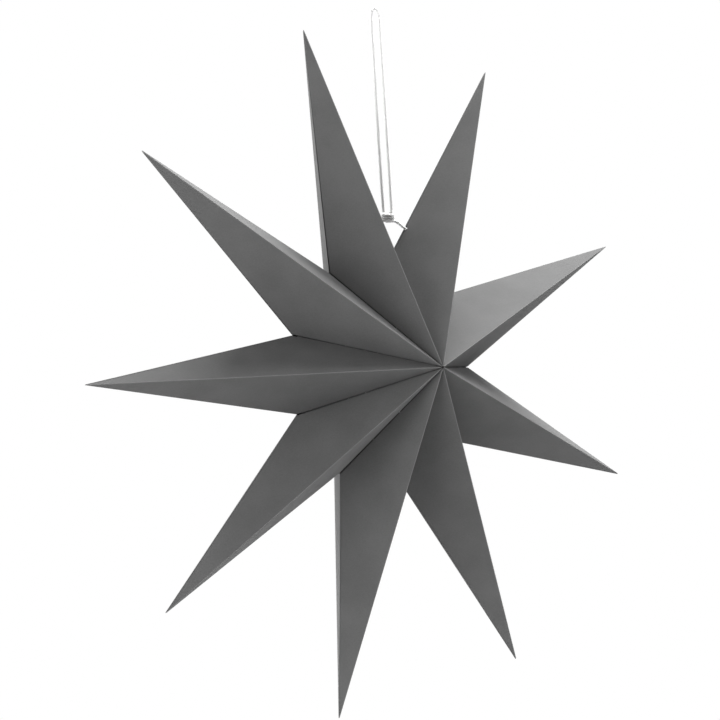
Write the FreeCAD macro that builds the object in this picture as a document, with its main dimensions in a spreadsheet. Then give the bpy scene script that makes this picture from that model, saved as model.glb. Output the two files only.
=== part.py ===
"""Nine-pointed folded card star on a hanging cord.

Each ray is one creased sheet: two front panels, two back panels and a lap flap, meeting at the tip.
Neighbouring rays are glued tab to tab along the valleys, and the top valley is tied by the cord.
The star's own frame has its centre line along Y (front is -Y) and the tied valley straight up.
The whole star then hangs below the cord's loop, whose inner top is the origin.
"""
import FreeCAD, Part
import math
import os

import Sketcher
from FreeCAD import Placement, Rotation, Vector

DRIVING_SIZES = {
    # the star: tips on one circle, valleys on a smaller one nearer the front
    "ray_count": 9,
    "tip_radius": 300.0,
    "valley_radius": 98.0,
    "valley_forward": 15.0,
    "front_depth": 101.0,
    "back_depth": 50.0,
    # the card and its folds
    "card_thickness": 0.4,
    "fold_gap": 0.05,
    "back_seam_gap": 0.2,
    "lap_gap": 0.6,
    "lap_width": 10.0,
    "lap_from_tip": 90.0,
    "lap_from_valley": 46.0,
    "lap_from_edge": 1.5,
    # the tabs glued together behind each valley
    "tab_width": 10.0,
    "tab_below_valley": 0.9,
    "tab_from_valley": 2.5,
    "tab_from_centre": 6.0,
    "tape_thickness": 0.2,
    "tape_length": 40.0,
    "tape_width": 6.0,
    # the cord, its loop and the knot
    "cord_diameter": 3.0,
    "hook_radius": 2.6,
    "leg_spread": 10.0,
    "loop_height": 180.0,
    "knot_length": 12.0,
    "knot_diameter": 10.0,
    "knot_rounding": 2.4,
    "knot_gap": 0.3,
    "knot_above_holes": 6.4,
    "knot_off_centre": 3.0,
    "hole_clearance": 1.0,
    "hole_from_valley": 34.0,
    "tail_slant_room": 0.9,
    "tail_drop": 2.0,
    "tail_straight": 5.0,
    "end_knot_overlap": 0.2,
    "end_knot_clearance": 0.4,
    # how the star hangs, in degrees
    "hang_pitch": 1.18,
    "hang_roll": 10.0,
}

FRONT, BACK = "front", "back"
LEFT, RIGHT = "left", "right"

doc = FreeCAD.newDocument("CardStar")
sheet = doc.addObject("Spreadsheet::Sheet", "Sizes")
size = {}


def set_size(name, value):
    """Write one size into the sheet, under its own alias, and keep it for the placements."""
    cell = f"B{len(size) + 1}"
    sheet.set(f"A{len(size) + 1}", name)
    sheet.set(cell, repr(value))
    sheet.setAlias(cell, name)
    size[name] = value


for size_name, driving_value in DRIVING_SIZES.items():
    set_size(size_name, driving_value)

RAYS = size["ray_count"]
STEP = 360.0 / RAYS
FIRST, LAST = 2, 1  # the rays on the two sides of the tied valley, clockwise from the first
ORDER = [(FIRST - 1 + turn) % RAYS + 1 for turn in range(RAYS)]
POLES = {FRONT: Vector(0, -size["front_depth"], 0), BACK: Vector(0, size["back_depth"], 0)}


# ---- points of the folded star, in its own frame ----

def around(radius, depth, angle):
    """A point at a distance from the centre line, clockwise from the tied valley as seen in front."""
    turn = math.radians(angle)
    return Vector(radius * math.sin(turn), depth, radius * math.cos(turn))


def tip(ray):
    return around(size["tip_radius"], 0, (ray - FIRST + 0.5) * STEP)


def valley(ray, side):
    turn = ray - FIRST if side == LEFT else ray - FIRST + 1
    return around(size["valley_radius"], -size["valley_forward"], turn * STEP)


def panel_frame(ray, face, side):
    """Placement of a panel: origin at the tip, X down the side crease, Y across the panel."""
    along = valley(ray, side) - tip(ray)
    across = POLES[face] - tip(ray)
    return Placement(tip(ray), Rotation(along, across, Vector(), "XYZ"))


def panel_normal(ray, face, side):
    """Unit normal that points out of the star."""
    frame = panel_frame(ray, face, side)
    normal = frame.Rotation.multVec(Vector(0, 0, 1))
    return normal if pads_upward(face, side) else normal * -1


def pads_upward(face, side):
    """Whether a panel's own Z axis points out of the star."""
    return (face == FRONT) == (side == LEFT)


def seam_half_angle(face):
    """Angle in radians between a panel and the plane through the centre line and its valley."""
    normal = panel_normal(FIRST, face, LEFT)
    return math.acos(abs(normal.x))


def seam_frame(turn, face):
    """Placement on a valley's fold line: X from the valley point to the pole, Y into the star."""
    start = around(size["valley_radius"], -size["valley_forward"], turn * STEP)
    along = POLES[face] - start
    inward = POLES[BACK if face == FRONT else FRONT] - start
    rotation = Rotation(along, inward, Vector(), "XYZ")
    into_star = rotation.multVec(Vector(0, 1, 0))
    lift = size["card_thickness"] / math.sin(seam_half_angle(face))
    return Placement(start - into_star * lift, rotation)


for worked_out, start, end in (
    ("crease_length", tip(FIRST), valley(FIRST, LEFT)),
    ("front_ridge_length", tip(FIRST), POLES[FRONT]),
    ("back_ridge_length", tip(FIRST), POLES[BACK]),
    ("front_seam_length", valley(FIRST, LEFT), POLES[FRONT]),
    ("back_seam_length", valley(FIRST, LEFT), POLES[BACK]),
):
    set_size(worked_out, (end - start).Length)
for seam_face, seam_gap in ((FRONT, size["fold_gap"]), (BACK, size["back_seam_gap"])):
    relief = size["card_thickness"] / math.tan(seam_half_angle(seam_face)) + seam_gap
    set_size(f"{seam_face}_seam_relief", relief)
low_point = valley(FIRST, LEFT)
between_seams = (POLES[FRONT] - low_point).getAngle(POLES[BACK] - low_point)
set_size("tab_end_slope", math.tan(between_seams / 2))
set_size("hole_diameter", size["cord_diameter"] + 2 * size["hole_clearance"])
set_size("end_knot_diameter", size["hole_diameter"] + 2 * size["end_knot_overlap"])
doc.recompute()


# ---- the star's place under the cord ----

def knot_point():
    """The knot's centre in the star's frame: above the tied valley, a little towards the last ray."""
    hole = cord_hole(FIRST, LEFT)
    return Vector(-size["knot_off_centre"], hole.y, hole.z + size["knot_above_holes"])


def cord_hole(ray, side):
    """Centre of the hole punched across a ray's side crease."""
    low = valley(ray, side)
    up_crease = (tip(ray) - low).normalize()
    return low + up_crease * size["hole_from_valley"]


KNOT_HEIGHT = -size["loop_height"]
hang_turn = Rotation(Vector(1, 0, 0), size["hang_pitch"]) * Rotation(Vector(0, 1, 0), size["hang_roll"])
HANG = Placement(Vector(0, 0, KNOT_HEIGHT) - hang_turn.multVec(knot_point()), hang_turn)


# ---- sketches ----

def plane_of(body, role):
    return next(part for part in body.Origin.OriginFeatures if part.Role == role)


def new_body(label):
    body = doc.addObject("PartDesign::Body", label)
    body.Label = label
    return body


def new_sketch(body, name):
    sketch = body.newObject("Sketcher::SketchObject", f"{name}_{body.Name}")
    sketch.AttachmentSupport = [(plane_of(body, "XY_Plane"), "")]
    sketch.MapMode = "FlatFace"
    return sketch


def add_outline(sketch, corners, construction=False):
    """Closed outline through corners; returns the number of its first edge."""
    first = sketch.GeometryCount
    count = len(corners)
    for number, corner in enumerate(corners):
        edge = Part.LineSegment(corner, corners[(number + 1) % count])
        sketch.addGeometry(edge, construction)
    for number in range(count):
        after = first + (number + 1) % count
        sketch.addConstraint(Sketcher.Constraint("Coincident", first + number, 2, after, 1))
    return first


def bind(sketch, expression, *values):
    """Add a dimension and tie it to the sheet."""
    number = sketch.addConstraint(Sketcher.Constraint(*values))
    sketch.setExpression(f"Constraints[{number}]", expression)


def pad(body, sketch, thickness, upward=True, both_sides=False):
    feature = body.newObject("PartDesign::Pad", f"Pad_{sketch.Name}")
    feature.Profile = sketch
    feature.setExpression("Length", thickness)
    feature.Midplane = both_sides
    feature.Reversed = not upward
    sketch.Visibility = False
    return feature


def inset_corner(corner, before, after, gap_before, gap_after):
    """Where the two edges at a corner meet once each has moved inwards by its own gap."""
    back = (before - corner).normalize()
    on = (after - corner).normalize()
    sine = abs(back.cross(on).z)
    return corner + back * (gap_after / sine) + on * (gap_before / sine)


def panel_outline(body, face, side):
    """The panel's fold lines as construction, and its edges set back from them."""
    ridge, seam = size[f"{face}_ridge_length"], size[f"{face}_seam_length"]
    crease = size["crease_length"]
    lap = "lap_gap" if (face, side) == (BACK, LEFT) else "fold_gap"
    gaps = [size[lap], size[f"{face}_seam_relief"], size["fold_gap"]]
    pole_x = (crease ** 2 + ridge ** 2 - seam ** 2) / (2 * crease)
    folds = [Vector(0, 0, 0), Vector(crease, 0, 0), Vector(pole_x, math.sqrt(ridge ** 2 - pole_x ** 2), 0)]
    edges = []
    for number, corner in enumerate(folds):
        before, after = folds[number - 1], folds[(number + 1) % 3]
        edges.append(inset_corner(corner, before, after, gaps[number - 1], gaps[number]))
    sketch = new_sketch(body, "Panel")
    fold = add_outline(sketch, folds, construction=True)
    sketch.addConstraint(Sketcher.Constraint("Coincident", fold, 1, -1, 1))
    sketch.addConstraint(Sketcher.Constraint("PointOnObject", fold, 2, -1))
    bind(sketch, "Sizes.crease_length", "Distance", fold, crease)
    bind(sketch, f"Sizes.{face}_seam_length", "Distance", fold + 1, seam)
    bind(sketch, f"Sizes.{face}_ridge_length", "Distance", fold + 2, ridge)
    edge = add_outline(sketch, edges)
    names = [f"Sizes.{lap}", f"Sizes.{face}_seam_relief", "Sizes.fold_gap"]
    for number in range(3):
        for end in (1, 2):
            bind(sketch, names[number], "Distance", edge + number, end, fold + number, gaps[number])
    return sketch


# ---- sub-parts ----

def lap_flap(body):
    """The flap glued under a front left panel along its side crease."""
    near, far = size["lap_from_edge"], size["lap_from_edge"] + size["lap_width"]
    start, end = size["lap_from_tip"], size["crease_length"] - size["lap_from_valley"]
    slant = size["lap_width"]
    corners = [Vector(start, near), Vector(end, near), Vector(end - slant, far), Vector(start + slant, far)]
    sketch = new_sketch(body, "Flap")
    edge = add_outline(sketch, corners)
    sketch.addConstraint(Sketcher.Constraint("Horizontal", edge))
    sketch.addConstraint(Sketcher.Constraint("Horizontal", edge + 2))
    bind(sketch, "Sizes.lap_from_edge", "DistanceY", -1, 1, edge, 1, near)
    bind(sketch, "Sizes.lap_width", "DistanceY", edge, 1, edge + 2, 2, size["lap_width"])
    bind(sketch, "Sizes.lap_from_tip", "DistanceX", -1, 1, edge, 1, start)
    bind(sketch, "Sizes.crease_length - Sizes.lap_from_valley", "DistanceX", -1, 1, edge, 2, end)
    bind(sketch, "Sizes.lap_width", "DistanceX", edge, 1, edge + 2, 2, slant)
    bind(sketch, "Sizes.lap_width", "DistanceX", edge + 2, 1, edge, 2, slant)
    return pad(body, sketch, "Sizes.card_thickness", upward=False)


def punch_cord_hole(body):
    """Half of the round hole that is punched across the side crease."""
    place = size["crease_length"] - size["hole_from_valley"]
    sketch = new_sketch(body, "Hole")
    sketch.addGeometry(Part.Circle(Vector(place, 0, 0), Vector(0, 0, 1), size["hole_diameter"] / 2))
    sketch.addConstraint(Sketcher.Constraint("PointOnObject", 0, 3, -1))
    bind(sketch, "Sizes.crease_length - Sizes.hole_from_valley", "DistanceX", -1, 1, 0, 3, place)
    bind(sketch, "Sizes.hole_diameter", "Diameter", 0, size["hole_diameter"])
    pocket = body.newObject("PartDesign::Pocket", f"Pocket_{sketch.Name}")
    pocket.Profile = sketch
    pocket.Type = "ThroughAll"
    pocket.Midplane = True
    return pocket


def panel(ray, face, side):
    """One flat panel of a ray's sheet, from its inner surface outwards."""
    body = new_body(f"ray_{ray}_{face}_{side}")
    sketch = panel_outline(body, face, side)
    pad(body, sketch, "Sizes.card_thickness", upward=pads_upward(face, side))
    if (face, side) == (FRONT, LEFT):
        lap_flap(body)
    if (ray, side) in ((FIRST, LEFT), (LAST, RIGHT)):
        punch_cord_hole(body)
    body.Placement = HANG * panel_frame(ray, face, side)
    return body


def tab_outline(body, face):
    """Tab behind a valley, its outer end clear of the other face's tab and its inner end at 45 degrees."""
    near, width = size["tab_below_valley"], size["tab_width"]
    end = size[f"{face}_seam_length"] - size["tab_from_centre"]
    far = near + width
    slope = size["tab_end_slope"]
    start = size["tab_from_valley"] + near / slope
    outer_far, inner_far = start + width / slope, end - width
    corners = [Vector(start, near), Vector(end, near), Vector(inner_far, far), Vector(outer_far, far)]
    sketch = new_sketch(body, "Tab")
    edge = add_outline(sketch, corners)
    sketch.addConstraint(Sketcher.Constraint("Horizontal", edge))
    sketch.addConstraint(Sketcher.Constraint("Horizontal", edge + 2))
    bind(sketch, "Sizes.tab_below_valley", "DistanceY", -1, 1, edge, 1, near)
    bind(sketch, "Sizes.tab_width", "DistanceY", edge, 1, edge + 2, 2, width)
    outer_end = "Sizes.tab_from_valley + Sizes.tab_below_valley / Sizes.tab_end_slope"
    bind(sketch, outer_end, "DistanceX", -1, 1, edge, 1, start)
    bind(sketch, f"Sizes.{face}_seam_length - Sizes.tab_from_centre", "DistanceX", -1, 1, edge, 2, end)
    bind(sketch, "Sizes.tab_width / Sizes.tab_end_slope", "DistanceX", edge, 1, edge + 2, 2, width / slope)
    bind(sketch, "Sizes.tab_width", "DistanceX", edge + 2, 1, edge, 2, width)
    return sketch


def glued_tabs(ray, face):
    """The two tabs of neighbouring rays, glued face to face behind the valley between them."""
    body = new_body(f"glued_tabs_{ray}_{ray % RAYS + 1}_{face}")
    sketch = tab_outline(body, face)
    pad(body, sketch, "2 * Sizes.card_thickness", both_sides=True)
    body.Placement = HANG * seam_frame(ray - FIRST + 1, face)
    return body


def closing_tab(ray, face):
    """A tab of the tied valley. The two lie against the strip of tape between them."""
    first_side = ray == FIRST
    upward = first_side == (face == BACK)
    body = new_body(f"closing_tab_{ray}_{face}")
    sketch = tab_outline(body, face)
    pad(body, sketch, "Sizes.card_thickness", upward=upward)
    off_plane = size["tape_thickness"] / 2 * (1 if upward else -1)
    shift = Placement(Vector(0, 0, off_plane), Rotation())
    body.Placement = HANG * seam_frame(0, face) * shift
    return body


def closing_tab_with_tape(face):
    """The first ray's closing tab, which carries the double-sided tape."""
    tab = closing_tab(FIRST, face)
    label = tab.Label
    tab.Label = f"{label}_card"
    tape = doc.addObject("Part::Box", f"Tape_{face}")
    tape.setExpression("Length", "Sizes.tape_length")
    tape.setExpression("Width", "Sizes.tape_width")
    tape.setExpression("Height", "Sizes.tape_thickness")
    start = (size[f"{face}_seam_length"] - size["tape_length"]) / 2
    inset = size["tab_below_valley"] + (size["tab_width"] - size["tape_width"]) / 2
    corner = Placement(Vector(start, inset, -size["tape_thickness"] / 2), Rotation())
    tape.Placement = HANG * seam_frame(0, face) * corner
    both = doc.addObject("Part::Compound", f"Taped_{face}")
    both.Links = [tab, tape]
    both.Label = label
    return both


# ---- the cord ----

def rounded_route(points, name):
    """Straight runs between points, joined by tangent arcs as large as the runs allow."""
    edges, start = [], points[0]
    for before, corner, after in zip(points, points[1:], points[2:]):
        back, on = before - corner, after - corner
        shorter = min(back.Length, on.Length)
        half_turn = (math.pi - back.getAngle(on)) / 2
        cut = 0.45 * shorter
        radius = cut / math.tan(half_turn)
        enter, leave = corner + back.normalize() * cut, corner + on.normalize() * cut
        to_centre = (back + on).normalize()
        middle = corner + to_centre * (radius / math.cos(half_turn) - radius)
        edges += [Part.makeLine(start, enter), Part.Arc(enter, middle, leave).toShape()]
        start = leave
        print(f"{name}: arc radius {radius:.1f}")
    return Part.Wire(edges + [Part.makeLine(start, points[-1])])


def cord_tube(name, wire):
    """Round cord along a wire, checked against its section times its length."""
    route = doc.addObject("Part::Feature", f"Route_{name}")
    route.Shape = wire
    start = wire.OrderedEdges[0]
    section = doc.addObject("Part::Circle", f"Section_{name}")
    section.setExpression("Radius", "Sizes.cord_diameter / 2")
    ahead = start.tangentAt(start.FirstParameter)
    section.Placement = Placement(wire.OrderedVertexes[0].Point, Rotation(Vector(0, 0, 1), ahead))
    tube = doc.addObject("Part::Sweep", f"Tube_{name}")
    tube.Sections = [section]
    tube.Spine = (route, [f"Edge{number + 1}" for number in range(len(wire.Edges))])
    tube.Solid = True
    doc.recompute()
    expected = math.pi * size["cord_diameter"] ** 2 / 4 * wire.Length
    print(f"{name}: length {wire.Length:.1f}, volume {tube.Shape.Volume:.1f} of {expected:.1f}")
    return tube


def hanging_loop():
    """Two taut legs and the bend over the hook, between the knot's ends."""
    radius = size["hook_radius"] + size["cord_diameter"] / 2
    centre = Vector(0, 0, size["cord_diameter"] / 2 - radius)
    foot = Vector(size["leg_spread"] / 2, 0, KNOT_HEIGHT + size["knot_diameter"] / 2 + size["knot_gap"])
    to_foot = foot - centre
    turn = math.atan2(to_foot.z, to_foot.x) + math.acos(radius / to_foot.Length)
    leave = centre + Vector(radius * math.cos(turn), 0, radius * math.sin(turn))
    leave_left, foot_left = Vector(-leave.x, 0, leave.z), Vector(-foot.x, 0, foot.z)
    top = centre + Vector(0, 0, radius)
    bend = Part.Arc(leave_left, top, leave).toShape()
    wire = Part.Wire([Part.makeLine(foot_left, leave_left), bend, Part.makeLine(leave, foot)])
    tube = cord_tube("loop", wire)
    tube.Label = "cord_loop"
    return tube


def hanging_knot():
    """The knot below the loop: a short barrel across the cord, with rounded ends."""
    barrel = doc.addObject("Part::Cylinder", "Barrel")
    barrel.setExpression("Radius", "Sizes.knot_diameter / 2")
    barrel.setExpression("Height", "Sizes.knot_length")
    start = Vector(-size["knot_length"] / 2, 0, KNOT_HEIGHT)
    barrel.Placement = Placement(start, Rotation(Vector(0, 0, 1), Vector(1, 0, 0)))
    doc.recompute()
    knot = doc.addObject("Part::Fillet", "Knot")
    knot.Base = barrel
    rims = [n + 1 for n, edge in enumerate(barrel.Shape.Edges) if isinstance(edge.Curve, Part.Circle)]
    knot.Edges = [(rim, size["knot_rounding"], size["knot_rounding"]) for rim in rims]
    knot.Label = "hanging_knot"
    return knot


def cord_tail(ray, side):
    """The cord's end: from the knot, in through the crease hole, to its own end knot."""
    away = 1 if side == LEFT else -1
    hole = cord_hole(ray, side)
    outwards = (panel_normal(ray, FRONT, side) + panel_normal(ray, BACK, side)).normalize()
    sine = abs(outwards.dot(panel_normal(ray, FRONT, side)))
    end_knot_radius = size["end_knot_diameter"] / 2
    depth = (end_knot_radius + size["end_knot_clearance"]) / sine
    beside = size["knot_length"] / 2 + size["knot_gap"] + size["tail_slant_room"]
    start = Vector(away * beside, 0, KNOT_HEIGHT - size["tail_drop"])
    bend = HANG.multVec(hole + outwards * size["tail_straight"])
    end = HANG.multVec(hole - outwards * depth)
    name = f"tail_{ray}"
    tube = cord_tube(name, rounded_route([start, bend, end], name))
    ball = doc.addObject("Part::Sphere", f"EndKnot_{ray}")
    ball.setExpression("Radius", "Sizes.end_knot_diameter / 2")
    ball.Placement = Placement(end, Rotation())
    tail = doc.addObject("Part::Fuse", f"Tail_{ray}")
    tail.Base = tube
    tail.Tool = ball
    tail.Label = f"cord_tail_{ray}"
    return tail


# ---- the whole star ----

sub_parts = [panel(ray, face, side) for ray in ORDER for face in (FRONT, BACK) for side in (LEFT, RIGHT)]
sub_parts += [glued_tabs(ray, face) for ray in ORDER[:-1] for face in (FRONT, BACK)]
sub_parts += [closing_tab_with_tape(face) for face in (FRONT, BACK)]
sub_parts += [closing_tab(LAST, face) for face in (FRONT, BACK)]
sub_parts += [hanging_loop(), hanging_knot(), cord_tail(FIRST, LEFT), cord_tail(LAST, RIGHT)]
doc.recompute()

for part_object in doc.Objects:
    failed = {"Invalid", "Error"} & set(part_object.State)
    if failed:
        raise RuntimeError(f"{part_object.Label} could not be built: {failed}")

os.makedirs("parts", exist_ok=True)
for sub_part in sub_parts:
    shape = sub_part.Shape
    if shape.isNull() or not shape.isValid() or not shape.Solids:
        raise RuntimeError(f"{sub_part.Label} has no valid solid")
    shape.exportStep(f"parts/{sub_part.Label}.step")
print(f"{len(sub_parts)} sub-parts written")
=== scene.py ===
"""Looks of the nine-pointed folded card star: its studio, its cord and knot, and each ray's creased card.

The frame's model stays as it is. Every piece is in metres and in its place on that model; the cord, the lap
flaps, the closing tabs and the tape each ride on one of its bodies.
"""

import math

import bmesh
import bpy
from mathutils import Matrix, Vector


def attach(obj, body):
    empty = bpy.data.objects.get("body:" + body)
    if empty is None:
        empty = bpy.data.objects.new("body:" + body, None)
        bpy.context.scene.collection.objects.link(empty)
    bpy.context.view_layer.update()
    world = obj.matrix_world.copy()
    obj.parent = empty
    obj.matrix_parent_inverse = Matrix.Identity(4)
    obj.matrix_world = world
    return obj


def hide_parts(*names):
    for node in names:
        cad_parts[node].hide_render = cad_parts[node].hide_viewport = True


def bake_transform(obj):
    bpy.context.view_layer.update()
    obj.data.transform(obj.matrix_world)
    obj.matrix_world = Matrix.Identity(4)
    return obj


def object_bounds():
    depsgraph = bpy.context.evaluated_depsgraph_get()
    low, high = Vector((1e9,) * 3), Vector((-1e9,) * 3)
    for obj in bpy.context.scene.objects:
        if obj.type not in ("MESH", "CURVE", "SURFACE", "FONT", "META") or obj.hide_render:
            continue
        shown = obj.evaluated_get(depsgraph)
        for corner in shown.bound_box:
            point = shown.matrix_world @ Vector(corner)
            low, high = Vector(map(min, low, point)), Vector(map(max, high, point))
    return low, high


bl_info = {
    "name": "Folded Card Star",
    "version": (1, 0, 0),
    "blender": (4, 5, 0),
    "location": "View3D > Sidebar > Card Star",
    "description": "Builds the looks of a nine-pointed card star on a hanging cord",
    "category": "Add Mesh",
}

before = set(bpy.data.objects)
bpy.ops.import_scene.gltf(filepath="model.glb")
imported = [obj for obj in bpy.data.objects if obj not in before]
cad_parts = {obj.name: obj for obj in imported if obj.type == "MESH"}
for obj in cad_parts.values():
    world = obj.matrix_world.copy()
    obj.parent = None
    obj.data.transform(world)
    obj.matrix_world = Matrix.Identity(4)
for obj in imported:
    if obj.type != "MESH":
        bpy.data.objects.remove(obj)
CAD_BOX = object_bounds()

MM = 0.001
RAYS = 9
FIRST, LAST = 2, 1  # the rays on the two sides of the valley that the cord ties
FRONT, BACK = "front", "back"
LEFT, RIGHT = "left", "right"
STEPS_PER_TWIST = 14  # points of a strand in one full turn
FLOOR_SIZE = 14  # metres
FLOOR_FADES = (2.5, 6.5)  # metres from the star at which the floor starts and ends its fading
LAMP_DISTANCE, LAMP_SIZE = 2.4, 1.8  # metres
LAMPS = {  # degrees to the right of the front, degrees up, and share of the light
    "right": (105, 58, 0.62),
    "left": (280, 10, 0.14),
    "rear": (225, 0, 0.09),
    "upper": (240, 65, 0.08),
    "low": (270, -40, 0.07),
}


# ---- what a user would change ----

def length(name, description, millimetres):
    """A length property, in metres."""
    return bpy.props.FloatProperty(
        name=name, description=description, default=millimetres * MM, unit="LENGTH", precision=5
    )


def angle(name, description, degrees):
    """An angle property, in radians."""
    return bpy.props.FloatProperty(
        name=name, description=description, default=math.radians(degrees), unit="ROTATION"
    )


def factor(name, description, default, high=1.0):
    """A plain number property."""
    return bpy.props.FloatProperty(name=name, description=description, default=default, min=0.0, max=high)


def colour(name, description, default):
    """A colour property."""
    return bpy.props.FloatVectorProperty(
        name=name, description=description, default=default, subtype="COLOR", min=0.0, max=1.0
    )


class StarSizes(bpy.types.PropertyGroup):
    """Sizes of the folded star."""

    tip_radius: length("Tip radius", "From the centre line to each tip", 300)
    valley_radius: length("Valley radius", "From the centre line to each valley's outer end", 98)
    valley_forward: length("Valley forward", "How far the valleys lie in front of the tips", 15)
    front_depth: length("Front depth", "From the tips' plane to the front middle", 101)
    back_depth: length("Back depth", "From the tips' plane to the back middle", 50)
    hang_pitch: angle("Hang pitch", "How far the star tips forwards on its cord", 1.18)
    hang_roll: angle("Hang roll", "How far the star is turned clockwise on its cord", 10.0)


class CardSizes(bpy.types.PropertyGroup):
    """Sizes of the card, its folds and its cuts."""

    thickness: length("Card thickness", "Thickness of the card", 0.4)
    front_seam_gap: length("Front seam gap", "Room beside the outer end of a front seam", 0.8)
    back_seam_gap: length("Back seam gap", "Room beside the outer end of a back seam", 0.02)
    middle_gap: length("Middle gap", "Room beside a seam at the star's middle", 0.02)
    lap_width: length("Lap width", "Width of the flap under the lapped crease", 10)
    lap_from_edge: length("Lap from edge", "From the crease to the flap", 1.5)
    lap_from_tip: length("Lap from tip", "From the tip to the flap", 90)
    lap_from_valley: length("Lap from valley", "From the valley to the flap", 46)
    ridge_rounding: length("Ridge rounding", "How much of each panel the rounded ridge takes", 0.5)
    crease_rounding: length("Crease rounding", "How much of each panel the rounded side crease takes", 0.3)
    seam_rounding: length("Seam rounding", "How much of each panel turns in towards its tab", 0.2)
    lap_step: length("Lap step", "How far a panel's lapped edge falls short of the valley's end", 1.0)
    crease_wing: length("Crease wing", "Width of the creased strip's wings at the valley", 2.0)
    tip_gap: length("Tip gap", "From the creased strip's tip down to the sheets' tips", 0.08)
    tab_width: length("Tab width", "How far a tab reaches into the star", 10)
    tab_below_valley: length("Tab below valley", "From the valley's fold line in to the tab", 0.9)
    tab_from_valley: length("Tab from valley", "From the valley's outer end to the tab", 2.5)
    tab_from_centre: length("Tab from centre", "From the star's middle to the tab", 6)
    tape_thickness: length("Tape thickness", "Thickness of the double-sided tape", 0.2)
    tape_length: length("Tape length", "Length of the strip of tape", 40)
    tape_width: length("Tape width", "Width of the strip of tape", 6)


class CordSizes(bpy.types.PropertyGroup):
    """Sizes of the cord, its knot and the punched holes."""

    diameter: length("Cord diameter", "Thickness of the twisted cord", 3)
    twist: length("Twist", "Length of one full turn of the strands", 9)
    loop_height: length("Loop height", "From the hook to the knot", 180)
    knot_width: length("Knot width", "Width of the knot", 12)
    knot_depth: length("Knot depth", "Depth of the knot", 10)
    knot_above_holes: length("Knot above holes", "From the punched holes up to the knot", 6.4)
    knot_off_centre: length("Knot off centre", "How far the knot sits towards the last ray", 3)
    hole_diameter: length("Hole diameter", "Width of the punched holes", 5)
    hole_from_valley: length("Hole from valley", "From the valley up the crease to the hole", 34)


class CardFinish(bpy.types.PropertyGroup):
    """Colours of the card."""

    base: colour("Card", "Colour of the dyed card", (0.082, 0.082, 0.082))
    # The fold colour is partly the card's paler stretched fibres and partly a painted highlight along each
    # fold.
    fold: colour("Fold", "Colour of the stretched fibres along a fold", (0.20, 0.20, 0.20))
    mottle: factor("Mottle", "How much the card's tone varies", 0.07)
    roughness: factor("Roughness", "Roughness of the uncoated card", 0.86)


class CordFinish(bpy.types.PropertyGroup):
    """Colours of the cord."""

    base: colour("Cord", "Colour of the bleached cord", (0.90, 0.90, 0.89))
    # A painted shade between the cord's fibres, a little greyer than the cord.
    painted_fibre_shade: colour("Groove", "Colour between the cord's fibres", (0.83, 0.83, 0.81))
    roughness: factor("Roughness", "Roughness of the cotton", 0.92)


class Studio(bpy.types.PropertyGroup):
    """The studio's lamps, floor and camera."""

    light_level: factor("Light level", "Power of all the lamps together, in watts", 320.0, high=5000.0)
    room_light: factor("Room light", "Level of the light from all round", 0.30, high=10.0)
    floor_colour: colour("Floor", "Colour of the floor", (0.80, 0.80, 0.80))
    floor_whiteness: factor("Floor whiteness", "How much paler the floor is to the camera", 0.6)
    floor_drop: length("Floor drop", "From the star's lowest tip down to the floor", 1200)
    camera_place: bpy.props.FloatVectorProperty(
        name="Camera place", description="Where the camera stands", subtype="XYZ", unit="LENGTH",
        default=(-2.5111, -3.0835, -0.3974),
    )
    camera_turn: bpy.props.FloatVectorProperty(
        name="Camera turn", description="How the camera is turned", subtype="EULER", unit="ROTATION",
        default=(math.radians(91.382), math.radians(3.713), math.radians(-38.606)),
    )
    lens: factor("Lens", "Focal length of the lens, in millimetres", 230.0, high=1000.0)


def settings(name):
    """One of the groups above, as the scene holds it."""
    return getattr(bpy.context.scene, name)


# ---- the folded star's points ----

def around(radius, depth, turn):
    """A point of the star's own frame, clockwise from the tied valley as seen in front."""
    return Vector((radius * math.sin(turn), depth, radius * math.cos(turn)))


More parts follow.
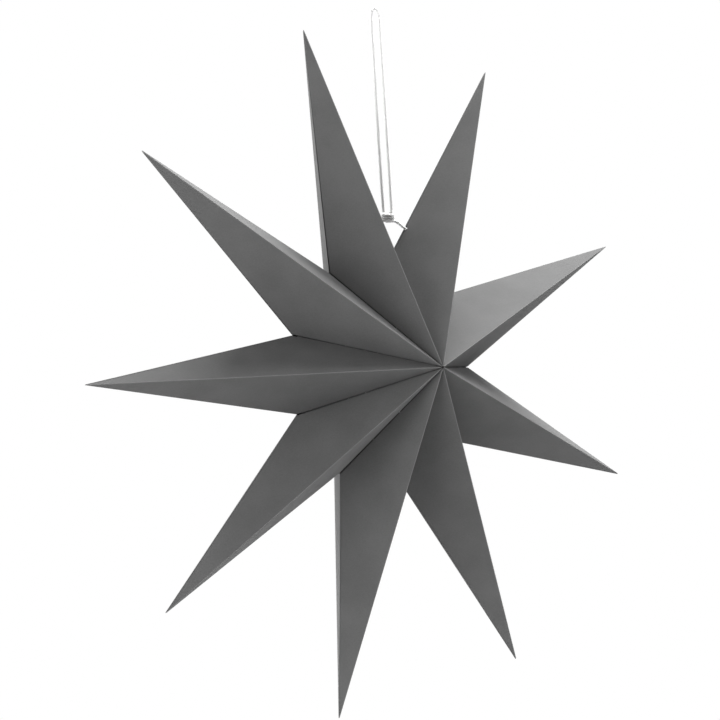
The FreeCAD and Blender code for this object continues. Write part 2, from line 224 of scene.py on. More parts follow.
class StarShape:
    """The fold points of the first ray before the star is hung, and the place of each ray."""

    def __init__(self):
        self.star = settings("star_sizes")
        self.card = settings("card_sizes")
        self.cord = settings("cord_sizes")
        self.tip = around(self.star.tip_radius, 0, math.pi / RAYS)
        self.valleys = {
            LEFT: around(self.star.valley_radius, -self.star.valley_forward, 0),
            RIGHT: around(self.star.valley_radius, -self.star.valley_forward, math.tau / RAYS),
        }
        self.poles = {
            FRONT: Vector((0, -self.star.front_depth, 0)),
            BACK: Vector((0, self.star.back_depth, 0)),
        }
        turn = Matrix.Rotation(self.star.hang_pitch, 4, "X") @ Matrix.Rotation(self.star.hang_roll, 4, "Y")
        hole = self.hole(LEFT)
        knot = Vector((-self.cord.knot_off_centre, hole.y, hole.z + self.cord.knot_above_holes))
        self.knot = Vector((0, 0, -self.cord.loop_height))
        self.hang = Matrix.Translation(self.knot - turn @ knot) @ turn

    def place(self, ray):
        """How a piece of the first ray is turned to another ray, and hung."""
        return self.hang @ Matrix.Rotation((ray - FIRST) * math.tau / RAYS, 4, "Y")

    def hole(self, side):
        """The middle of the hole across a side crease."""
        low = self.valleys[side]
        return low + (self.tip - low).normalized() * self.cord.hole_from_valley

    def outwards(self, side):
        """The way out of the star across a side crease."""
        crease = self.valleys[side] - self.tip
        middle = (self.poles[FRONT] + self.poles[BACK]) / 2
        normals = []
        for pole in self.poles.values():
            normal = crease.cross(pole - self.tip).normalized()
            normals.append(normal if normal.dot(self.tip - middle) > 0 else -normal)
        return (normals[0] + normals[1]).normalized()

    def sheet_tip(self, face):
        """The tip of the front or back sheet, just inside the creased strip's tip."""
        return self.tip + (self.poles[face] - self.tip).normalized() * self.card.tip_gap

    def on_valley(self, side, face, distance):
        """A point on a valley's fold line, so far from its outer end."""
        low = self.valleys[side]
        return low + (self.poles[face] - low).normalized() * distance

    def seam_widths(self, face):
        """How far a panel's cut edge lies from the valley's fold line, at its outer end and at the middle."""
        normal = (self.valleys[LEFT] - self.tip).cross(self.poles[face] - self.tip).normalized()
        half_angle = math.acos(abs(normal.x))
        touching = self.card.thickness / math.tan(half_angle)
        gap = self.card.front_seam_gap if face == FRONT else self.card.back_seam_gap
        return touching + gap, touching + self.card.middle_gap


# ---- shader maths ----

class Value:
    """An output of a node, which Python's operators join to others with Math nodes."""

    def __init__(self, finish, socket):
        self.finish = finish
        self.socket = socket

    def joined(self, operation, first, second):
        """A Math node's result for two values or numbers."""
        return self.finish.node("ShaderNodeMath", {"operation": operation}, {0: first, 1: second})

    def __add__(self, other):
        return self.joined("ADD", self, other)

    def __radd__(self, other):
        return self.joined("ADD", other, self)

    def __sub__(self, other):
        return self.joined("SUBTRACT", self, other)

    def __rsub__(self, other):
        return self.joined("SUBTRACT", other, self)

    def __mul__(self, other):
        return self.joined("MULTIPLY", self, other)

    def __rmul__(self, other):
        return self.joined("MULTIPLY", other, self)


class Finish:
    """A material, or the world, and the nodes added to it."""

    def __init__(self, owner):
        self.owner = owner
        owner.use_nodes = True
        self.tree = owner.node_tree
        self.tree.nodes.clear()

    def node(self, kind, choices=None, values=None, output=0):
        """Add a node with its choices first, then the values or links of its sockets."""
        added = self.tree.nodes.new(kind)
        for name, choice in (choices or {}).items():
            setattr(added, name, choice)
        for key, value in (values or {}).items():
            if isinstance(value, Value):
                self.tree.links.new(value.socket, added.inputs[key])
            else:
                added.inputs[key].default_value = value
        return Value(self, added.outputs[output]) if len(added.outputs) else added

    def noise(self, place, scale, detail=2.0, roughness=0.5):
        """A cloudy pattern from 0 to 1, finer for a larger scale."""
        values = {"Vector": place, "Scale": scale, "Detail": detail, "Roughness": roughness}
        return self.node("ShaderNodeTexNoise", None, values)

    def mixed(self, share, first, second):
        """Two colours mixed by a share from 0 to 1."""
        choices = {"data_type": "RGBA"}
        values = {0: share, 6: first, 7: second}
        return self.node("ShaderNodeMix", choices, values, output=2)

    def between(self, value, start, end):
        """0 before start, 1 after end, and smooth between them."""
        choices = {"interpolation_type": "SMOOTHSTEP"}
        return self.node("ShaderNodeMapRange", choices, {"Value": value, "From Min": start, "From Max": end})


def opaque(rgb):
    """A colour with its alpha."""
    return (rgb[0], rgb[1], rgb[2], 1.0)


def scaled(rgb, level):
    """A colour made darker or paler, with its alpha."""
    return (rgb[0] * level, rgb[1] * level, rgb[2] * level, 1.0)


def card_material(name, creased):
    """Dyed uncoated card: faint clouds, pressed fibres, and along a crease a paler tone, partly stretched
    fibres and partly a painted highlight.
    """
    wanted = settings("card_finish")
    finish = Finish(bpy.data.materials.new(name))
    place = finish.node("ShaderNodeTexCoord", output=3)
    clouds = finish.noise(place, 26.0, detail=3.0)
    flecks = finish.noise(place, 900.0, detail=3.0, roughness=0.6)
    lying = finish.node("ShaderNodeMapping", None, {"Vector": place, "Scale": (500.0, 500.0, 1400.0)})
    fibres = finish.noise(lying, 1.0, detail=2.0)
    tone = 0.45 * clouds + 0.35 * flecks + 0.2 * fibres
    darker = scaled(wanted.base, 1 - 2 * wanted.mottle)
    lighter = scaled(wanted.base, 1 + 2 * wanted.mottle)
    card = finish.mixed(finish.between(tone, 0.3, 0.7), darker, lighter)
    if creased:
        flat = finish.node("ShaderNodeUVMap", {"uv_map": "flat_card"})
        across = finish.node("ShaderNodeSeparateXYZ", None, {0: flat})
        beside = finish.node("ShaderNodeMath", {"operation": "ABSOLUTE"}, {0: across})
        # Paler along each fold: partly stretched fibres, partly a painted highlight.
        crease = 1 - finish.between(beside, 0.2 * MM, 0.8 * MM)
        card = finish.mixed(crease * (0.55 + 0.45 * flecks), card, opaque(wanted.fold))
    height = 0.5 * flecks + 0.3 * fibres + 1.2 * clouds
    bump = finish.node("ShaderNodeBump", None, {"Strength": 0.3, "Distance": 0.1 * MM, "Height": height})
    values = {
        "Base Color": card,
        "Roughness": wanted.roughness + 0.08 * (flecks - 0.5),
        "Normal": bump,
        "Specular IOR Level": 0.35,
        "Sheen Weight": 0.2,
        "Sheen Roughness": 0.25,
    }
    shader = finish.node("ShaderNodeBsdfPrincipled", None, values)
    finish.node("ShaderNodeOutputMaterial", None, {"Surface": shader})
    return finish.owner


def tape_material():
    """Double-sided tape: a smooth, slightly yellow film with faint streaks of glue."""
    finish = Finish(bpy.data.materials.new("clear_tape"))
    place = finish.node("ShaderNodeTexCoord", output=3)
    streaks = finish.noise(place, 700.0, detail=2.0)
    share = finish.between(streaks, 0.3, 0.7)
    bump = finish.node("ShaderNodeBump", None, {"Strength": 0.15, "Distance": 0.03 * MM, "Height": streaks})
    values = {
        "Base Color": finish.mixed(share, (0.50, 0.48, 0.42, 1.0), (0.54, 0.52, 0.46, 1.0)),
        "Roughness": 0.26 + 0.1 * share,
        "Normal": bump,
    }
    shader = finish.node("ShaderNodeBsdfPrincipled", None, values)
    finish.node("ShaderNodeOutputMaterial", None, {"Surface": shader})
    return finish.owner


def cord_material():
    """Bleached cotton: fine fibres that lie along the strands, with a painted shade of soft grey between
    them.
    """
    wanted = settings("cord_finish")
    finish = Finish(bpy.data.materials.new("bleached_cotton"))
    place = finish.node("ShaderNodeTexCoord", output=3)
    lying = finish.node("ShaderNodeMapping", None, {"Vector": place, "Scale": (3200.0, 3200.0, 1100.0)})
    fibres = finish.noise(lying, 1.0, detail=3.0, roughness=0.6)
    # The darker parts of the fibre pattern take the painted shade between fibres.
    share = finish.between(fibres, 0.35, 0.62)
    bump = finish.node("ShaderNodeBump", None, {"Strength": 0.5, "Distance": 0.1 * MM, "Height": fibres})
    values = {
        "Base Color": finish.mixed(share, opaque(wanted.painted_fibre_shade), opaque(wanted.base)),
        "Roughness": wanted.roughness,
        "Normal": bump,
        "Specular IOR Level": 0.2,
        "Sheen Weight": 0.3,
        "Sheen Roughness": 0.5,
        "Subsurface Weight": 1.0,
        "Subsurface Radius": (1.0, 1.0, 1.0),
        "Subsurface Scale": 4.0 * MM,
    }
    shader = finish.node("ShaderNodeBsdfPrincipled", None, values)
    finish.node("ShaderNodeOutputMaterial", None, {"Surface": shader})
    return finish.owner


def seen_directly(finish):
    """1 for what the camera sees, straight or by way of a shiny or clear surface, and 0 for other light."""
    camera, glossy, clear = (
        finish.node("ShaderNodeLightPath", output=kind)
        for kind in ("Is Camera Ray", "Is Glossy Ray", "Is Transmission Ray")
    )
    return camera.joined("MAXIMUM", camera, camera.joined("MAXIMUM", glossy, clear))


def floor_material():
    """A plain pale floor that keeps its shadow, and fades to the room's white far from the star."""
    wanted = settings("studio")
    finish = Finish(bpy.data.materials.new("pale_floor"))
    place = finish.node("ShaderNodeTexCoord", output=3)
    grain = finish.noise(place, 60.0, detail=3.0)
    pale = opaque(wanted.floor_colour)
    tone = finish.mixed(finish.between(grain, 0.3, 0.7), scaled(wanted.floor_colour, 0.985), pale)
    matte = finish.node("ShaderNodeBsdfPrincipled", None, {"Base Color": tone, "Roughness": 0.9})
    white = finish.node("ShaderNodeEmission", None, {"Color": (1, 1, 1, 1), "Strength": 1.0})
    distance = finish.node("ShaderNodeVectorMath", {"operation": "LENGTH"}, {0: place}, output=1)
    fading = finish.between(distance, *FLOOR_FADES)
    share = (wanted.floor_whiteness + (1 - wanted.floor_whiteness) * fading) * seen_directly(finish)
    shader = finish.node("ShaderNodeMixShader", None, {0: share, 1: matte, 2: white})
    finish.node("ShaderNodeOutputMaterial", None, {"Surface": shader})
    return finish.owner


def light_room():
    """An even room light, with plain white behind the object."""
    wanted = settings("studio")
    world = bpy.data.worlds.new("room")
    bpy.context.scene.world = world
    finish = Finish(world)
    level = wanted.room_light + (1 - wanted.room_light) * seen_directly(finish)
    light = finish.node("ShaderNodeBackground", None, {"Color": (1, 1, 1, 1), "Strength": level})
    finish.node("ShaderNodeOutputWorld", None, {"Surface": light})


def material(name, make):
    """The material of that name, made the first time that it is asked for."""
    return bpy.data.materials.get(name) or make()


def creased_card():
    return material("creased_card", lambda: card_material("creased_card", creased=True))


def plain_card():
    return material("plain_card", lambda: card_material("plain_card", creased=False))


def clear_tape():
    return material("clear_tape", tape_material)


def cotton():
    return material("bleached_cotton", cord_material)


def finished(piece, surface):
    """Give a piece its only material."""
    piece.data.materials.clear()
    piece.data.materials.append(surface)
    return piece


# ---- modelling by hand, in edit mode ----

def deselect_all():
    bpy.ops.object.select_all(action="DESELECT")


def choose_object(piece):
    """Select one piece alone."""
    deselect_all()
    bpy.context.view_layer.objects.active = piece
    piece.select_set(True)


def edit(piece):
    """Open a piece for editing with nothing selected, and return its mesh."""
    bpy.context.view_layer.objects.active = piece
    bpy.ops.object.mode_set(mode="EDIT")
    bpy.ops.mesh.select_all(action="DESELECT")
    mesh = bmesh.from_edit_mesh(piece.data)
    mesh.verts.ensure_lookup_table()
    return mesh


def close_edit():
    bpy.ops.object.mode_set(mode="OBJECT")


def choose(piece, mesh, kind, wanted):
    """Select the vertices, edges or faces that a test picks."""
    bpy.ops.mesh.select_all(action="DESELECT")
    bpy.ops.mesh.select_mode(type=kind)
    for element in {"VERT": mesh.verts, "EDGE": mesh.edges, "FACE": mesh.faces}[kind]:
        element.select_set(wanted(element))
    bmesh.update_edit_mesh(piece.data)


def four_cornered(name, corners):
    """A plane with its corners moved to four places, anticlockwise as seen from outside."""
    deselect_all()
    middle = sum(corners, Vector()) / 4
    bpy.ops.mesh.primitive_plane_add(size=(corners[2] - corners[0]).length, location=middle)
    piece = bpy.context.object
    piece.name = name
    bpy.ops.object.transform_apply(location=True, rotation=True, scale=True)
    for number, corner in zip((0, 1, 3, 2), corners):
        mesh = edit(piece)
        choose(piece, mesh, "VERT", lambda vertex: vertex.index == number)
        bpy.ops.transform.translate(value=corner - mesh.verts[number].co)
        close_edit()
    return piece


def copied(model, name, place):
    """A copy of a piece with a mesh of its own, moved to its place."""
    choose_object(model)
    bpy.ops.object.duplicate(linked=False)
    piece = bpy.context.object
    piece.name = name
    piece.matrix_world = place
    bpy.ops.object.transform_apply(location=True, rotation=True, scale=True)
    return piece


def remove(piece):
    """Delete a piece that the others were copied from or cut with."""
    choose_object(piece)
    bpy.ops.object.delete()


def apply_modifier(piece, kind, **choices):
    """Add a modifier with its choices and apply it."""
    choose_object(piece)
    modifier = piece.modifiers.new(kind.title(), kind)
    for name, choice in choices.items():
        setattr(modifier, name, choice)
    bpy.ops.object.modifier_apply(modifier=modifier.name)


def fold_across(piece):
    """Crease the four-cornered piece from its first corner to its third."""
    mesh = edit(piece)
    choose(piece, mesh, "VERT", lambda vertex: vertex.index in (0, 3))
    bpy.ops.mesh.vert_connect()
    close_edit()


def trim(piece, on_wing, start, end, wing_normal, widths):
    """Cut a tapering strip, with a width at each end, off one edge of a wing."""
    outwards = (end - start).normalized().cross(wing_normal)
    cut_start, cut_end = start - outwards * widths[0], end - outwards * widths[1]
    outwards = (cut_end - cut_start).normalized().cross(wing_normal)
    mesh = edit(piece)
    choose(piece, mesh, "FACE", on_wing)
    bpy.ops.mesh.bisect(plane_co=cut_start, plane_no=outwards, threshold=1e-7)

    def is_offcut(face):
        return on_wing(face) and (face.calc_center_median() - cut_start).dot(outwards) > 0

    mesh = bmesh.from_edit_mesh(piece.data)
    choose(piece, mesh, "FACE", is_offcut)
    bpy.ops.mesh.delete(type="FACE")
    close_edit()


def wing_normals(corners):
    """Which way the two wings of a creased piece face."""
    tip_point, first_wing, low_end, second_wing = corners
    first = (first_wing - tip_point).cross(low_end - first_wing).normalized()
    second = (second_wing - low_end).cross(tip_point - second_wing).normalized()
    return first, second


def folded_card(name, corners, low_widths, rounding, rounded_seams=False):
    """A creased piece of card, with its fold running from the first corner to the third.

    The two lower edges, which meet at the third corner, are trimmed back for the seams beside them:
    low_widths has each one's widths at its outer end and at the third corner.
    """
    tip_point, low_end = corners[0], corners[2]
    first, second = wing_normals(corners)
    lateral, outwards = (second - first).normalized(), (second + first).normalized()
    card = settings("card_sizes")
    piece = four_cornered(name, corners)
    fold_across(piece)
    seams = (
        (-1, corners[1], low_end, first, low_widths[0]),
        (1, low_end, corners[3], second, low_widths[1][::-1]),
    )
    for wing, start, end, normal, widths in seams:

        def on_wing(face):
            return (face.calc_center_median() - tip_point).dot(lateral) * wing > 0

        trim(piece, on_wing, start, end, normal, widths)
    apply_modifier(piece, "SOLIDIFY", thickness=card.thickness, offset=1.0, use_even_offset=True)

    def on_fold(edge):
        away = [vertex.co - tip_point for vertex in edge.verts]
        on_line = all(abs(place.dot(lateral)) < card.thickness for place in away)
        outside = all(place.dot(outwards) > card.thickness / 2 for place in away)
        return on_line and outside and edge.calc_length() > 10 * MM

    round_edges(piece, on_fold, rounding, 3)
    if rounded_seams:
        for _, start, end, normal, _ in seams:
            round_seam(piece, start, end, normal)
    return piece


def round_seam(piece, start, end, normal):
    """Turn the outer edge beside a seam in a little, towards its tab."""
    card = settings("card_sizes")
    along = (end - start).normalized()

    def on_seam(edge):
        away = [vertex.co - start for vertex in edge.verts]
        near = all((place - along * place.dot(along)).length < 5 * card.thickness for place in away)
        outside = all(place.dot(normal) > card.thickness / 2 for place in away)
        return near and outside and edge.calc_length() > MM

    round_edges(piece, on_seam, card.seam_rounding, 2)


def round_edges(piece, wanted, offset, segments):
    """Round the edges that a test picks."""
    mesh = edit(piece)
    choose(piece, mesh, "EDGE", wanted)
    bpy.ops.mesh.bevel(offset=offset, offset_type="OFFSET", segments=segments, profile=0.5, affect="EDGES")
    close_edit()


def punch(piece, centre, direction, diameter):
    """Punch a round hole through a piece."""
    deselect_all()
    turn = Vector((0, 0, 1)).rotation_difference(direction).to_euler()
    bpy.ops.mesh.primitive_cylinder_add(
        vertices=48, radius=diameter / 2, depth=4 * diameter, location=centre, rotation=turn
    )
    cutter = bpy.context.object
    apply_modifier(piece, "BOOLEAN", operation="DIFFERENCE", solver="EXACT", object=cutter)
    remove(cutter)


def lay_out(piece, tip_point, low_end, lateral):
    """Write the card's flat layout as its UV map, in metres: across from the fold, and along it."""
    fold_line = (low_end - tip_point).normalized()
    while len(piece.data.uv_layers):
        piece.data.uv_layers.remove(piece.data.uv_layers[0])
    layout = piece.data.uv_layers.new(name="flat_card")
    for corner in piece.data.loops:
        away = piece.data.vertices[corner.vertex_index].co - tip_point
        along = away.dot(fold_line)
        beside = away - fold_line * along
        layout.data[corner.index].uv = (math.copysign(beside.length, beside.dot(lateral)), along)


def bend_with(piece, on_fold, lateral):
    """Bake the piece's place into its mesh."""
    room = 0.4 * MM  # each side of the fold line
    on_fold - lateral * room
    on_fold + lateral * room
    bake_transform(piece)


# ---- the cord, as twisted strands along a smooth route ----

def route_line(name, points):
    """Points along the smooth spline that has a route's points as its control points."""
    curve = bpy.data.curves.new(name, "CURVE")
    curve.dimensions = "3D"
    curve.resolution_u = 40
    spline = curve.splines.new("NURBS")
    spline.points.add(len(points) - 1)
    for place, point in zip(spline.points, points):
        place.co = (point[0], point[1], point[2], 1.0)
    spline.order_u = 3
    spline.use_endpoint_u = True
    holder = bpy.data.objects.new(name, curve)
    bpy.context.scene.collection.objects.link(holder)
    bpy.context.view_layer.update()
    mesh = bpy.data.meshes.new_from_object(holder)
    line = [vertex.co.copy() for vertex in mesh.vertices]
    bpy.data.objects.remove(holder)
    bpy.data.curves.remove(curve)
    bpy.data.meshes.remove(mesh)
    return line


def evenly(line, step):
    """Points at even steps along a line."""
    total = sum((after - before).length for before, after in zip(line, line[1:]))
    count = max(4, round(total / step))
    spots, walked, target = [line[0]], 0.0, total / count
    for before, after in zip(line, line[1:]):
        stretch = (after - before).length
        while stretch > 0 and target <= walked + stretch + 1e-9 and len(spots) < count:
            spots.append(before.lerp(after, (target - walked) / stretch))
            target += total / count
        walked += stretch
    return spots + [line[-1]]


def strands(line, twist, diameter, strand_count=3):
    """Lines of the strands that are laid round a line to make the cord."""
    strand_radius = diameter / 2 / (1 + 2 / math.sqrt(3))
    offset = diameter / 2 - strand_radius
    spots = evenly(line, twist / STEPS_PER_TWIST)
    laid = [[] for _ in range(strand_count)]
    ahead = (spots[1] - spots[0]).normalized()
    side = ahead.orthogonal().normalized()
    walked = 0.0
    for number, spot in enumerate(spots):
        before, after = spots[max(number - 1, 0)], spots[min(number + 1, len(spots) - 1)]
        now_ahead = (after - before).normalized()
        side = (ahead.rotation_difference(now_ahead) @ side).normalized()
        ahead = now_ahead
        if number:
            walked += (spot - spots[number - 1]).length
        for strand, places in enumerate(laid):
            turn = math.tau * (walked / twist + strand / strand_count)
            places.append(spot + (Matrix.Rotation(turn, 3, ahead) @ side) * offset)
    return laid, strand_radius


def twisted_cord(name, routes):
    """One piece of twisted cord that follows one or more routes."""
    cord = settings("cord_sizes")
    curve = bpy.data.curves.new(name, "CURVE")
    curve.dimensions = "3D"
    curve.use_fill_caps = True
    curve.bevel_resolution = 2
    for route in routes:
        laid, curve.bevel_depth = strands(route_line(name + "_route", route), cord.twist, cord.diameter)
        for places in laid:
            spline = curve.splines.new("POLY")
            spline.points.add(len(places) - 1)
            for point, place in zip(spline.points, places):
                point.co = (place[0], place[1], place[2], 1.0)
    piece = bpy.data.objects.new(name, curve)
    bpy.context.scene.collection.objects.link(piece)
    choose_object(piece)
    bpy.ops.object.convert(target="MESH")
    return finished(bpy.context.object, cotton())


def loop_route():
    """From the knot up over the hook and back down, in metres.

    The legs spread a little above the knot, and draw together again towards the hook.
    """
    height = settings("cord_sizes").loop_height
    left_leg = [
        Vector((-4.3 * MM, 0, 4.4 * MM - height)),
        Vector((-4.9 * MM, 0, 18 * MM - height)),
        Vector((-4.4 * MM, 0, -18 * MM)),
        Vector((-4.6 * MM, 0, 1.5 * MM)),
    ]
    return left_leg + [Vector((-point.x, 0, point.z)) for point in reversed(left_leg)]


def knot_routes():
    """Three wraps round the cord's two legs, and the legs inside them."""
    cord = settings("cord_sizes")
    wide, deep = 0.41 * cord.knot_width, 0.385 * cord.knot_depth
    middle = -cord.loop_height
    turns, steps = 2.9, 29
    top, drop = 3.3 * MM, 6.6 * MM
    wraps = [(1.5 * MM, 0, middle + 3.0 * MM)]  # tucked in between the legs
    for step in range(steps + 1):
        share = step / steps
        turn = math.tau * turns * share
        wraps.append((wide * math.cos(turn), deep * math.sin(turn), middle + top - drop * share))
    wraps.append((-1.5 * MM, 0, middle - 3.4 * MM))
    spots = ((2.2, 4.2), (1.8, 0), (1.2, -4.2))
    legs = [[(away * x * MM, 0, middle + z * MM) for x, z in spots] for away in (-1, 1)]
    return [wraps, *legs]


def end_routes(shape, ray, side):
    """From the knot, in through the crease's hole, and the small knot on the end."""
    away = 1 if side == LEFT else -1
    place = shape.place(ray)
    hole, outwards = place @ shape.hole(side), place.to_3x3() @ shape.outwards(side)
    start = shape.knot + Vector((away * 4.8 * MM, 0, -2.9 * MM))
    leaving = shape.knot + Vector((away * 7.0 * MM, 0, -2.8 * MM))
    inside = hole - outwards * 2.2 * MM
    reach_in = [start, leaving, hole + outwards * 4.0 * MM, inside]
    across = outwards.orthogonal().normalized()
    other = outwards.cross(across)
    turns, steps, radius = 1.5, 12, 1.2 * MM
    end_knot = []
    for step in range(steps + 1):
        turn = math.tau * turns * step / steps
        deeper = inside - outwards * (0.4 + 2.2 * step / steps) * MM
        end_knot.append(deeper + (across * math.cos(turn) + other * math.sin(turn)) * radius)
    return [reach_in, end_knot]


# ---- operators: the stage, and one for each kind of piece ----

class CARDSTAR_OT_set_stage(bpy.types.Operator):
    """Set up the camera, the lamps, the room light and the pale floor"""

    bl_idname = "card_star.set_stage"
    bl_label = "Set the stage"

    def execute(self, context):
        wanted = settings("studio")
        context.scene.view_settings.view_transform = "Standard"
        bpy.ops.object.camera_add(location=wanted.camera_place, rotation=wanted.camera_turn)
        camera = context.object
        camera.name = "photo_camera"
        camera.data.lens = wanted.lens
        camera.data.sensor_width = 36
        camera.data.clip_end = 60
        context.scene.camera = camera
        middle = (CAD_BOX[0] + CAD_BOX[1]) / 2
        for name, (turn, height, share) in LAMPS.items():
            power = share * wanted.light_level
            self.add_lamp(f"{name}_lamp", middle, math.radians(turn), math.radians(height), power)
        light_room()
        floor_height = CAD_BOX[0].z - wanted.floor_drop
        bpy.ops.mesh.primitive_plane_add(size=FLOOR_SIZE, location=(middle.x, middle.y, floor_height))
        floor = context.object
        floor.name = "floor"
        bpy.ops.object.transform_apply(location=True, rotation=True, scale=True)
        floor.data.materials.append(floor_material())
        return {"FINISHED"}

    def add_lamp(self, name, target, turn, height, power):
        """A square lamp that faces the star, placed by its turn to the right and its height."""
        level = math.cos(height)
        away = Vector((math.sin(turn) * level, -math.cos(turn) * level, math.sin(height)))
        facing = away.to_track_quat("Z", "Y").to_euler()
        bpy.ops.object.light_add(type="AREA", location=target + away * LAMP_DISTANCE, rotation=facing)
        lamp = bpy.context.object
        lamp.name = name
        lamp.data.size = LAMP_SIZE
        lamp.data.energy = power
        lamp.visible_camera = False


class CARDSTAR_OT_add_cord(bpy.types.Operator):
    """Add the twisted cord's hanging loop, its knot and its two ends"""

    bl_idname = "card_star.add_cord"
    bl_label = "Add the cord"

    def execute(self, context):
        shape = StarShape()
        cord = settings("cord_sizes")
        route = loop_route()
        line = route_line("loop_line", route)
        loop = twisted_cord("hanging_cord", [route])
        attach(loop, "cord_loop")
        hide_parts("cord_loop")
        knot = twisted_cord("cord_knot", knot_routes())
        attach(knot, "hanging_knot")
        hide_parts("hanging_knot")
        for ray, side in ((FIRST, LEFT), (LAST, RIGHT)):
            end = twisted_cord(f"cord_end_{ray}", end_routes(shape, ray, side))
            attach(end, f"ray_{ray}_front_{side}")
            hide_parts(f"cord_tail_{ray}")
        return {"FINISHED"}


class CARDSTAR_OT_add_front_sheets(bpy.types.Operator):
    """Add each ray's two front panels as one sheet, creased along the ridge"""

    bl_idname = "card_star.add_front_sheets"
    bl_label = "Add the front sheets"

    def execute(self, context):
        shape = StarShape()
        card = shape.card
        low_left = shape.on_valley(LEFT, FRONT, card.lap_step)
        low_right = shape.on_valley(RIGHT, FRONT, card.crease_wing)
        corners = [shape.sheet_tip(FRONT), low_left, shape.poles[FRONT], low_right]
        widths = shape.seam_widths(FRONT)
        model = folded_card("front_sheet", corners, [widths, widths], card.ridge_rounding, rounded_seams=True)
        for ray in range(1, RAYS + 1):
            hang_card(shape, model, ray, corners, ["front_left", "front_right"])
        remove(model)
        return {"FINISHED"}


class CARDSTAR_OT_add_side_creases(bpy.types.Operator):
    """Add the narrow creased strip that joins each ray's front and back on the right"""

    bl_idname = "card_star.add_side_creases"
    bl_label = "Add the side creases"

    def execute(self, context):
        shape = StarShape()
        card = shape.card
        wings = [shape.on_valley(RIGHT, face, card.crease_wing) for face in (FRONT, BACK)]
        corners = [shape.tip, wings[0], shape.valleys[RIGHT], wings[1]]
        widths = [(shape.seam_widths(face)[0],) * 2 for face in (FRONT, BACK)]
        model = folded_card("side_crease", corners, widths, card.crease_rounding)
        for ray in range(1, RAYS + 1):
            hang_card(shape, model, ray, corners, ["front_right", "back_right"])
        remove(model)
        return {"FINISHED"}


class CARDSTAR_OT_add_back_sheets(bpy.types.Operator):
    """Add each ray's two back panels as one sheet, creased along the back ridge"""

    bl_idname = "card_star.add_back_sheets"
    bl_label = "Add the back sheets"

    def execute(self, context):
        shape = StarShape()
        card = shape.card
        low_left = shape.on_valley(LEFT, BACK, card.lap_step)
        low_right = shape.on_valley(RIGHT, BACK, card.crease_wing)
        corners = [shape.sheet_tip(BACK), low_right, shape.poles[BACK], low_left]
        widths = shape.seam_widths(BACK)
        model = folded_card("back_sheet", corners, [widths, widths], card.ridge_rounding)
        for ray in range(1, RAYS + 1):
            hang_card(shape, model, ray, corners, ["back_right", "back_left"])
        remove(model)
        return {"FINISHED"}


class CARDSTAR_OT_add_lap_flaps(bpy.types.Operator):
    """Add the flap that is glued under each ray's front left panel"""

    bl_idname = "card_star.add_lap_flaps"
    bl_label = "Add the lap flaps"

    def execute(self, context):
        shape = StarShape()
        card = shape.card
        down = shape.valleys[LEFT] - shape.tip
        crease_length = down.length
        down.normalize()
        across = shape.poles[FRONT] - shape.tip
        across = (across - down * across.dot(down)).normalized()
        start, end = card.lap_from_tip, crease_length - card.lap_from_valley
        near, far = card.lap_from_edge, card.lap_from_edge + card.lap_width
        flat = [(start, near), (end, near), (end - card.lap_width, far), (start + card.lap_width, far)]
        model = four_cornered("lap_flap", [shape.tip + down * x + across * y for x, y in flat])
        apply_modifier(model, "SOLIDIFY", thickness=card.thickness, offset=-1.0)
        for ray in range(1, RAYS + 1):
            flap = copied(model, f"ray_{ray}_lap_flap", shape.place(ray))
            finished(flap, plain_card())
            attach(flap, f"ray_{ray}_front_left")
        remove(model)
        return {"FINISHED"}


class CARDSTAR_OT_add_closing_tabs(bpy.types.Operator):
    """Add the four tabs of the tied valley, and the tape that holds them together"""

    bl_idname = "card_star.add_closing_tabs"
    bl_label = "Add the closing tabs"

    def execute(self, context):
        shape = StarShape()
        card = shape.card
        half_tape = card.tape_thickness / 2
        for face in (FRONT, BACK):
            for ray, away in ((FIRST, 1), (LAST, -1)):
                body = f"closing_tab_{ray}_{face}"
                corners = tab_corners(shape, face)
                tab = flat_piece(f"ray_{ray}_{face}_closing_tab", corners, away, half_tape, card.thickness)
                round_edges(tab, runs_through_card, 1.5 * MM, 4)
                self.hang(shape, tab, plain_card(), body)
                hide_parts(body)
            room = 0.01 * MM  # between the tape and the last ray's tab
            corners = tape_corners(shape, face)
            tape = flat_piece(f"tape_{face}", corners, 1, room - half_tape, card.tape_thickness - room)
            self.hang(shape, tape, clear_tape(), f"closing_tab_{FIRST}_{face}")
        return {"FINISHED"}

    def hang(self, shape, piece, surface, body):
        """Move a finished piece to its place in the hanging star, on a body."""
        choose_object(piece)
        piece.matrix_world = shape.hang
        bpy.ops.object.transform_apply(location=True, rotation=True, scale=True)
        finished(piece, surface)
        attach(piece, body)


class CARDSTAR_OT_finish_tabs(bpy.types.Operator):
    """Give the tabs that are glued behind the other valleys their card"""

    bl_idname = "card_star.finish_tabs"
    bl_label = "Finish the tabs"

    def execute(self, context):
        for name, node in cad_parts.items():
            if name.startswith("glued_tabs"):
                finished(node, plain_card())
        return {"FINISHED"}


def across_tied_valley(shape, face):
    """Ways along the tied valley's fold line and into the star, and the slope of the tabs' outer ends."""
    low = shape.valleys[LEFT]
    along = (shape.poles[face] - low).normalized()
    other = shape.poles[BACK if face == FRONT else FRONT] - low
    inwards = (other - along * other.dot(along)).normalized()
    return along, inwards, math.tan(along.angle(other) / 2)


def tab_corners(shape, face):
    """Outline of a tab behind the tied valley, clear of the other face's tab, before the star is hung."""
    card, low = shape.card, shape.valleys[LEFT]
    along, inwards, slope = across_tied_valley(shape, face)
    near, far = card.tab_below_valley, card.tab_below_valley + card.tab_width
    start = card.tab_from_valley + near / slope
    end = (shape.poles[face] - low).length - card.tab_from_centre
    flat = [(start, near), (end, near), (end - card.tab_width, far), (start + card.tab_width / slope, far)]
    return [low + along * x + inwards * y for x, y in flat]


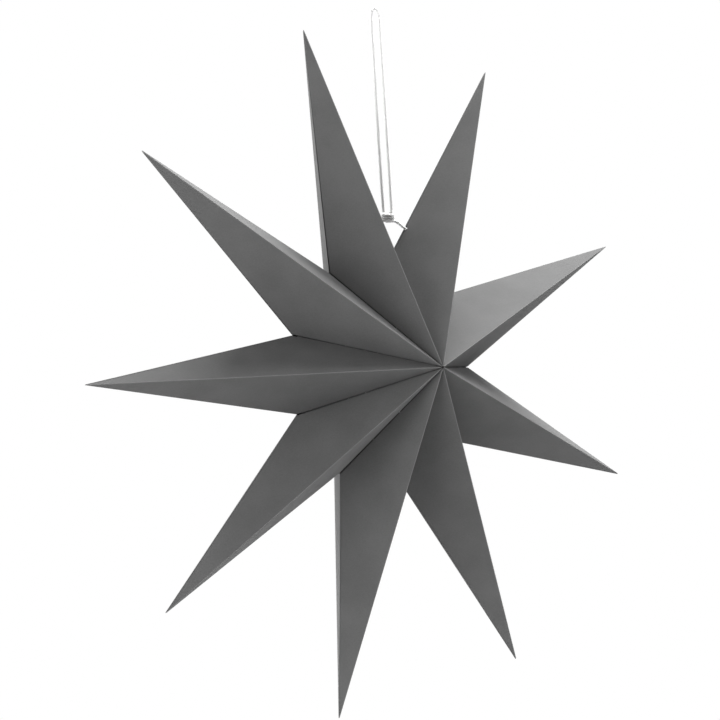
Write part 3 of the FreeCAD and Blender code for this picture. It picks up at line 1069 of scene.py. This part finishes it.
def tape_corners(shape, face):
    """Outline of the strip of tape, in the middle of the tabs."""
    card, low = shape.card, shape.valleys[LEFT]
    along, inwards, _ = across_tied_valley(shape, face)
    start = ((shape.poles[face] - low).length - card.tape_length) / 2
    near = card.tab_below_valley + (card.tab_width - card.tape_width) / 2
    end, far = start + card.tape_length, near + card.tape_width
    return [low + along * x + inwards * y for x, y in ((start, near), (end, near), (end, far), (start, far))]


def flat_piece(name, corners, away, off_plane, thickness):
    """A flat piece beside the tied valley's middle plane, with its thickness to the right for away 1."""
    normal = (corners[1] - corners[0]).cross(corners[2] - corners[1])
    if normal.x * away < 0:
        corners = corners[::-1]
    piece = four_cornered(name, [corner + Vector((away * off_plane, 0, 0)) for corner in corners])
    apply_modifier(piece, "SOLIDIFY", thickness=thickness, offset=1.0)
    return piece


def runs_through_card(edge):
    """Whether an edge of a flat piece beside the tied valley runs straight through it."""
    return abs((edge.verts[1].co - edge.verts[0].co).normalized().x) > 0.9


def hang_card(shape, model, ray, corners, panels):
    """Copy a creased piece of card to a ray, punched where the cord passes."""
    place = shape.place(ray)
    name = f"ray_{ray}_{model.name}"
    piece = copied(model, name, place)
    is_crease = model.name == "side_crease"
    if ray == LAST or (ray == FIRST and not is_crease):  # the first ray's hole is in its left crease
        side = LEFT if ray == FIRST else RIGHT
        outwards = place.to_3x3() @ shape.outwards(side)
        punch(piece, place @ shape.hole(side), outwards, shape.cord.hole_diameter)
    tip_point, low_end = place @ corners[0], place @ corners[2]
    first, second = wing_normals(corners)
    lateral = (place.to_3x3() @ (second - first)).normalized()
    lay_out(piece, tip_point, low_end, lateral)
    finished(piece, creased_card())
    bodies = [f"ray_{ray}_{panel}" for panel in panels]
    bend_with(piece, (tip_point + low_end) / 2, lateral)
    if not is_crease:
        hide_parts(*bodies)


class CARDSTAR_PT_sidebar(bpy.types.Panel):
    """The star's operators, in the order in which they are used"""

    bl_idname = "CARDSTAR_PT_sidebar"
    bl_label = "Folded Card Star"
    bl_space_type = "VIEW_3D"
    bl_region_type = "UI"
    bl_category = "Card Star"

    def draw(self, context):
        for operator in OPERATORS:
            self.layout.operator(operator.bl_idname)


GROUPS = {
    "star_sizes": StarSizes,
    "card_sizes": CardSizes,
    "cord_sizes": CordSizes,
    "card_finish": CardFinish,
    "cord_finish": CordFinish,
    "studio": Studio,
}
OPERATORS = (
    CARDSTAR_OT_set_stage,
    CARDSTAR_OT_add_cord,
    CARDSTAR_OT_add_front_sheets,
    CARDSTAR_OT_add_side_creases,
    CARDSTAR_OT_add_back_sheets,
    CARDSTAR_OT_add_lap_flaps,
    CARDSTAR_OT_add_closing_tabs,
    CARDSTAR_OT_finish_tabs,
)


def register():
    for name, group in GROUPS.items():
        bpy.utils.register_class(group)
        setattr(bpy.types.Scene, name, bpy.props.PointerProperty(type=group))
    for operator in OPERATORS:
        bpy.utils.register_class(operator)
    bpy.utils.register_class(CARDSTAR_PT_sidebar)


def unregister():
    bpy.utils.unregister_class(CARDSTAR_PT_sidebar)
    for operator in reversed(OPERATORS):
        bpy.utils.unregister_class(operator)
    for name, group in reversed(GROUPS.items()):
        delattr(bpy.types.Scene, name)
        bpy.utils.unregister_class(group)


def main():
    """Register the add-on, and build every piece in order."""
    register()
    bpy.ops.card_star.set_stage()
    bpy.ops.card_star.add_cord()
    bpy.ops.card_star.add_front_sheets()
    bpy.ops.card_star.add_side_creases()
    bpy.ops.card_star.add_back_sheets()
    bpy.ops.card_star.add_lap_flaps()
    bpy.ops.card_star.add_closing_tabs()
    bpy.ops.card_star.finish_tabs()


if __name__ == "__main__":
    main()
